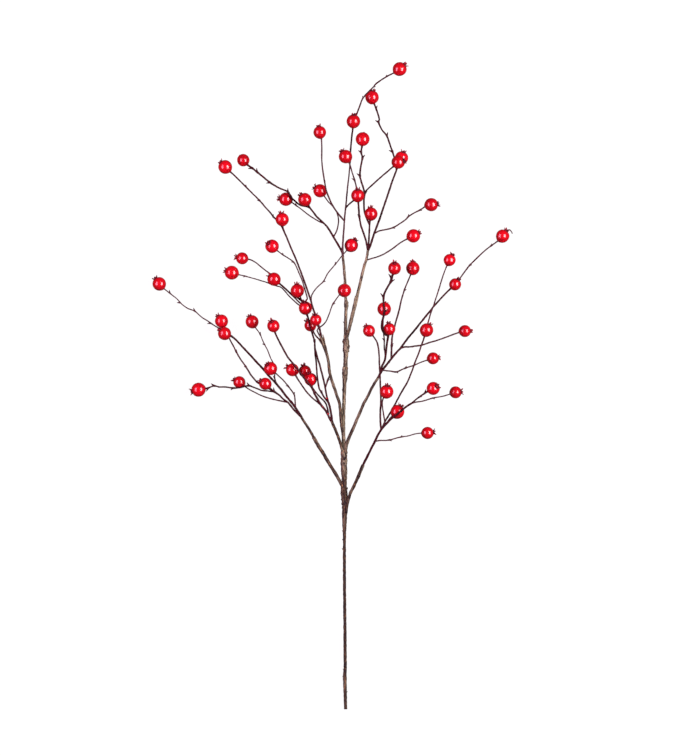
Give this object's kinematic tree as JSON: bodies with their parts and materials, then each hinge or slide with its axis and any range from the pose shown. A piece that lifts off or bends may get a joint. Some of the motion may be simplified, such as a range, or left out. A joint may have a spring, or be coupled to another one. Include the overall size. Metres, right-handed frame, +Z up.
{
  "type": "rose hip sprig",
  "caption": "Cut branching sprig of glossy red rose hips on wiry dark twigs bound to one bark-covered stem, lying flat as autumn decoration.",
  "frame": {"origin": "centre of the bounding box at the surface that the sprig lies on", "axes": "+Y along the stem from its cut end to its tip, +Z up from the surface that it lies on, +X to the right seen from above"},
  "size_m": [0.4186, 0.7508, 0.0832],
  "materials": {
    "stem_bark": "rough grey-brown bark",
    "hip_skin": "glossy red skin, finely wrinkled",
    "twig_bark": "dull purple-brown bark",
    "dried_sepal": "dull dark brown, dried"
  },
  "bodies": {
    "root": {"main_stem": "stem_bark", "spray_lower_right": "hip_skin", "spray_lower_left": "hip_skin", "spray_middle_left": "hip_skin", "spray_inner_left": "hip_skin", "spray_middle_right": "hip_skin", "spray_upper_right": "hip_skin"}
  },
  "joints": []
}
